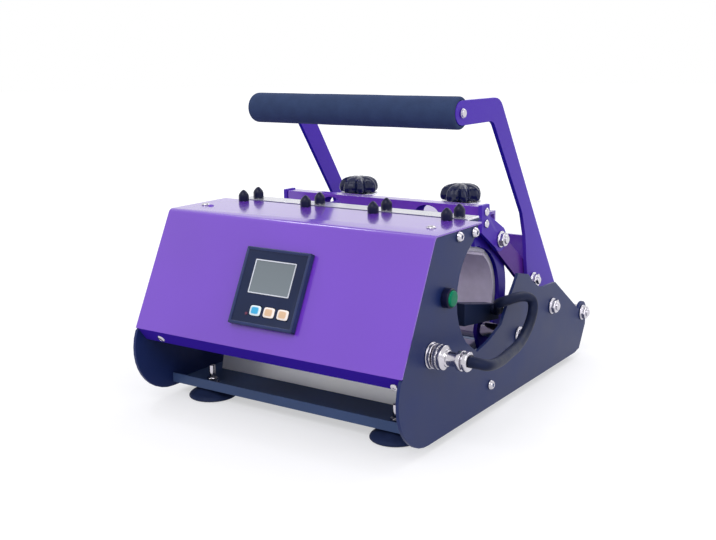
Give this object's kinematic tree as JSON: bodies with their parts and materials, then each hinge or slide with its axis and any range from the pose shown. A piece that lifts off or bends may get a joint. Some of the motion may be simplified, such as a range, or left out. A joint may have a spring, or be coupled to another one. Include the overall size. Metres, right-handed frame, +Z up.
{
  "type": "mug heat press",
  "caption": "Benchtop press with a cylindrical heated seat, a swing-back clamp half, a toggle linkage and a U-shaped handle with a foam grip.",
  "frame": {"origin": "middle of the footprint, at the level of the feet", "axes": "+X to the right-hand side seen from the front, +Y from the front to the rear, +Z up"},
  "size_m": [0.3631, 0.3957, 0.2936],
  "materials": {
    "black_powder_coat": "fine powder coat",
    "purple_paint": "gloss paint",
    "violet_paint": "gloss paint",
    "chrome": "polished",
    "bare_steel": "brushed sheet",
    "rubber": "matt",
    "foam": "matt foam",
    "silicone_mat": "fine woven silicone",
    "felt": "felt",
    "black_plastic": "matt",
    "gloss_black_plastic": "gloss",
    "screen": "clear window over a grey display",
    "green_plastic": "gloss",
    "blue_plastic": "satin",
    "orange_plastic": "satin"
  },
  "bodies": {
    "frame": {"side_plate_left": "black_powder_coat", "side_plate_right": "black_powder_coat", "base_pan": "black_powder_coat", "foot_front_left": "rubber", "foot_front_right": "rubber", "foot_rear_left": "rubber", "foot_rear_right": "rubber", "front_cover": "purple_paint", "controller_bezel": "black_plastic", "controller_case": "black_plastic", "controller_screen": "screen", "heat_shield": "bare_steel", "top_frame": "black_powder_coat", "seat_shell_front": "bare_steel", "insulation_front": "felt", "heating_mat_front": "silicone_mat", "mat_strip": "bare_steel", "button_bezel": "black_plastic", "heater_socket": "chrome", "heater_plug": "chrome", "heater_lead": "rubber", "mains_inlet": "black_plastic", "rocker_frame": "black_plastic", "terminal_block": "black_plastic", "handle_pivot_bolt_left": "chrome", "handle_pivot_bolt_right": "chrome", "clamp_pivot_bolt_left": "chrome", "clamp_pivot_bolt_right": "chrome", "stop_rod": "chrome", "stop_bush_left": "rubber", "stop_bush_right": "rubber"},
    "clamp": {"clamp_end_left": "violet_paint", "clamp_end_right": "violet_paint", "clamp_shell": "bare_steel", "insulation_rear": "felt", "heating_mat_rear": "silicone_mat", "clamp_bar": "violet_paint", "clamp_ear_left": "violet_paint", "clamp_ear_right": "violet_paint", "ear_pin_left": "chrome", "ear_pin_right": "chrome", "adjuster_bracket": "violet_paint"},
    "handle": {"handle_arm_left": "violet_paint", "handle_arm_right": "violet_paint", "grip_tube": "bare_steel", "foam_grip": "foam", "handle_cross_bar": "violet_paint", "arm_pin_left": "chrome", "arm_pin_right": "chrome"},
    "toggle_link_left": {"toggle_link_left": "violet_paint"},
    "toggle_link_right": {"toggle_link_right": "violet_paint"},
    "star_knob_left": {"star_knob_left": "gloss_black_plastic"},
    "star_knob_right": {"star_knob_right": "gloss_black_plastic"},
    "button_cap": {"button_cap": "green_plastic"},
    "key_left": {"key_left": "blue_plastic"},
    "key_middle": {"key_middle": "orange_plastic"},
    "key_right": {"key_right": "orange_plastic"},
    "rocker_key": {"rocker_key": "black_plastic"}
  },
  "joints": [
    {"name": "handle_hinge", "type": "hinge", "parent": "frame", "child": "handle", "pos_m": [0, 0.1855, 0.0495], "axis": [-1, 0, 0], "range_deg": [0, 50]},
    {"name": "clamp_hinge", "type": "hinge", "parent": "frame", "child": "clamp", "pos_m": [0, 0.0235, 0.0628], "axis": [-1, 0, 0], "range_deg": [0, 28.5]},
    {"name": "link_left_hinge", "type": "hinge", "parent": "handle", "child": "toggle_link_left", "pos_m": [-0.1127, 0.12213, 0.09498], "axis": [1, 0, 0], "range_deg": [0, 84]},
    {"name": "link_right_hinge", "type": "hinge", "parent": "handle", "child": "toggle_link_right", "pos_m": [0.1127, 0.12213, 0.09498], "axis": [1, 0, 0], "range_deg": [0, 84]},
    {"name": "knob_left_turn", "type": "hinge", "parent": "clamp", "child": "star_knob_left", "pos_m": [-0.0633, 0.065, 0.18], "axis": [0, 0, 1], "continuous": true},
    {"name": "knob_right_turn", "type": "hinge", "parent": "clamp", "child": "star_knob_right", "pos_m": [0.0633, 0.065, 0.18], "axis": [0, 0, 1], "continuous": true},
    {"name": "button_press", "type": "slide", "parent": "frame", "child": "button_cap", "axis": [-1, 0, 0], "range_m": [0, 0.0025], "stiffness_N_per_m": 800},
    {"name": "key_left_press", "type": "slide", "parent": "frame", "child": "key_left", "axis": [0, 0.8954, -0.4452], "range_m": [0, 0.0008], "stiffness_N_per_m": 800},
    {"name": "key_middle_press", "type": "slide", "parent": "frame", "child": "key_middle", "axis": [0, 0.8954, -0.4452], "range_m": [0, 0.0008], "stiffness_N_per_m": 800},
    {"name": "key_right_press", "type": "slide", "parent": "frame", "child": "key_right", "axis": [0, 0.8954, -0.4452], "range_m": [0, 0.0008], "stiffness_N_per_m": 800},
    {"name": "rocker_tilt", "type": "hinge", "parent": "frame", "child": "rocker_key", "pos_m": [-0.1485, -0.1215, 0.142], "axis": [0, 0, 1], "range_deg": [-8, 8]}
  ],
  "couplings": [
    {"joint": "clamp_hinge", "follows": "handle_hinge", "ratio": 0.5626},
    {"joint": "link_left_hinge", "follows": "handle_hinge", "ratio": 1.6632},
    {"joint": "link_right_hinge", "follows": "handle_hinge", "ratio": 1.6632}
  ]
}
